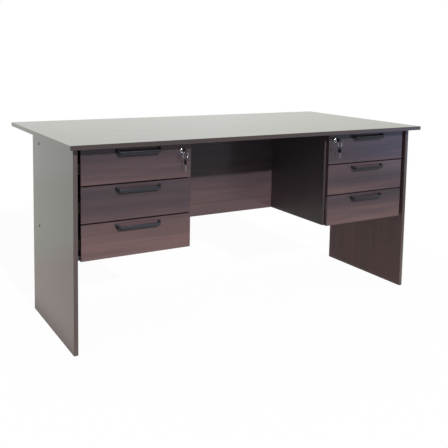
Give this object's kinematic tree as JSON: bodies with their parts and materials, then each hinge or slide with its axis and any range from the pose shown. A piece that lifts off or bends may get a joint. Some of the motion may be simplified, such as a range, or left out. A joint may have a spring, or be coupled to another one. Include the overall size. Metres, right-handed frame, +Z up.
{
  "type": "pedestal desk",
  "caption": "Office desk in dark walnut board: wide overhanging top on full-height end panels, modesty panel, hanging drawer pedestals with bow handles, cam locks and keys.",
  "frame": {"origin": "on the floor, under the middle of the top", "axes": "+X to the right of the person who sits at the desk and faces it, +Y towards the back, +Z up"},
  "size_m": [1.6, 0.8, 0.74],
  "materials": {
    "walnut_melamine": "semi-gloss dark walnut print",
    "drawer_box_board": "satin dark foil",
    "drawer_bottom_hardboard": "smooth hardboard",
    "coated_runner_steel": "satin dark coating",
    "handle_enamel": "satin dark slate",
    "lock_chrome": "polished",
    "key_plastic": "matt black bow on a plated blade",
    "ring_chrome": "polished",
    "zinc_plated_steel": "zinc plated",
    "cap_plastic": "matt dark brown"
  },
  "bodies": {
    "desk": {"desk_top": "walnut_melamine", "modesty_panel": "walnut_melamine", "left_end_panel": "walnut_melamine", "left_pedestal_side": "walnut_melamine", "left_pedestal_bottom": "walnut_melamine", "right_end_panel": "walnut_melamine", "right_pedestal_side": "walnut_melamine", "right_pedestal_bottom": "walnut_melamine", "modesty_screws": "zinc_plated_steel", "top_corner_brackets": "zinc_plated_steel", "bracket_screws": "zinc_plated_steel", "lock_keepers": "zinc_plated_steel", "screw_caps": "cap_plastic", "cabinet_runners": "coated_runner_steel"},
    "left_upper_drawer": {"left_upper_drawer_front": "walnut_melamine", "left_upper_drawer_sides": "drawer_box_board", "left_upper_drawer_back": "drawer_box_board", "left_upper_drawer_bottom": "drawer_bottom_hardboard", "left_upper_drawer_runners": "coated_runner_steel", "left_upper_drawer_handle": "handle_enamel", "left_lock_housing": "lock_chrome"},
    "left_middle_drawer": {"left_middle_drawer_front": "walnut_melamine", "left_middle_drawer_sides": "drawer_box_board", "left_middle_drawer_back": "drawer_box_board", "left_middle_drawer_bottom": "drawer_bottom_hardboard", "left_middle_drawer_runners": "coated_runner_steel", "left_middle_drawer_handle": "handle_enamel"},
    "left_lower_drawer": {"left_lower_drawer_front": "walnut_melamine", "left_lower_drawer_sides": "drawer_box_board", "left_lower_drawer_back": "drawer_box_board", "left_lower_drawer_bottom": "drawer_bottom_hardboard", "left_lower_drawer_runners": "coated_runner_steel", "left_lower_drawer_handle": "handle_enamel"},
    "left_key": {"left_lock_plug": "lock_chrome", "left_key": "key_plastic"},
    "left_key_bunch": {"left_key_ring": "ring_chrome", "left_spare_key": "key_plastic"},
    "right_upper_drawer": {"right_upper_drawer_front": "walnut_melamine", "right_upper_drawer_sides": "drawer_box_board", "right_upper_drawer_back": "drawer_box_board", "right_upper_drawer_bottom": "drawer_bottom_hardboard", "right_upper_drawer_runners": "coated_runner_steel", "right_upper_drawer_handle": "handle_enamel", "right_lock_housing": "lock_chrome"},
    "right_middle_drawer": {"right_middle_drawer_front": "walnut_melamine", "right_middle_drawer_sides": "drawer_box_board", "right_middle_drawer_back": "drawer_box_board", "right_middle_drawer_bottom": "drawer_bottom_hardboard", "right_middle_drawer_runners": "coated_runner_steel", "right_middle_drawer_handle": "handle_enamel"},
    "right_lower_drawer": {"right_lower_drawer_front": "walnut_melamine", "right_lower_drawer_sides": "drawer_box_board", "right_lower_drawer_back": "drawer_box_board", "right_lower_drawer_bottom": "drawer_bottom_hardboard", "right_lower_drawer_runners": "coated_runner_steel", "right_lower_drawer_handle": "handle_enamel"},
    "right_key": {"right_lock_plug": "lock_chrome", "right_key": "key_plastic"},
    "right_key_bunch": {"right_key_ring": "ring_chrome", "right_spare_key": "key_plastic"}
  },
  "joints": [
    {"name": "left_upper_drawer_slide", "type": "slide", "parent": "desk", "child": "left_upper_drawer", "axis": [0, -1, 0], "range_m": [0, 0.25]},
    {"name": "left_middle_drawer_slide", "type": "slide", "parent": "desk", "child": "left_middle_drawer", "axis": [0, -1, 0], "range_m": [0, 0.25]},
    {"name": "left_lower_drawer_slide", "type": "slide", "parent": "desk", "child": "left_lower_drawer", "axis": [0, -1, 0], "range_m": [0, 0.25]},
    {"name": "left_key_turn", "type": "hinge", "parent": "left_upper_drawer", "child": "left_key", "pos_m": [-0.362, -0.344, 0.693], "axis": [0, 1, 0], "range_deg": [0, 90]},
    {"name": "left_bunch_hang", "type": "hinge", "parent": "left_key", "child": "left_key_bunch", "pos_m": [-0.362, -0.3705, 0.68675], "axis": [0, 1, 0], "range_deg": [-90, 0]},
    {"name": "right_upper_drawer_slide", "type": "slide", "parent": "desk", "child": "right_upper_drawer", "axis": [0, -1, 0], "range_m": [0, 0.25]},
    {"name": "right_middle_drawer_slide", "type": "slide", "parent": "desk", "child": "right_middle_drawer", "axis": [0, -1, 0], "range_m": [0, 0.25]},
    {"name": "right_lower_drawer_slide", "type": "slide", "parent": "desk", "child": "right_lower_drawer", "axis": [0, -1, 0], "range_m": [0, 0.25]},
    {"name": "right_key_turn", "type": "hinge", "parent": "right_upper_drawer", "child": "right_key", "pos_m": [0.362, -0.344, 0.693], "axis": [0, -1, 0], "range_deg": [0, 90]},
    {"name": "right_bunch_hang", "type": "hinge", "parent": "right_key", "child": "right_key_bunch", "pos_m": [0.362, -0.3705, 0.68675], "axis": [0, -1, 0], "range_deg": [-90, 0]}
  ],
  "couplings": [
    {"joint": "left_bunch_hang", "follows": "left_key_turn", "ratio": -1},
    {"joint": "right_bunch_hang", "follows": "right_key_turn", "ratio": -1}
  ]
}
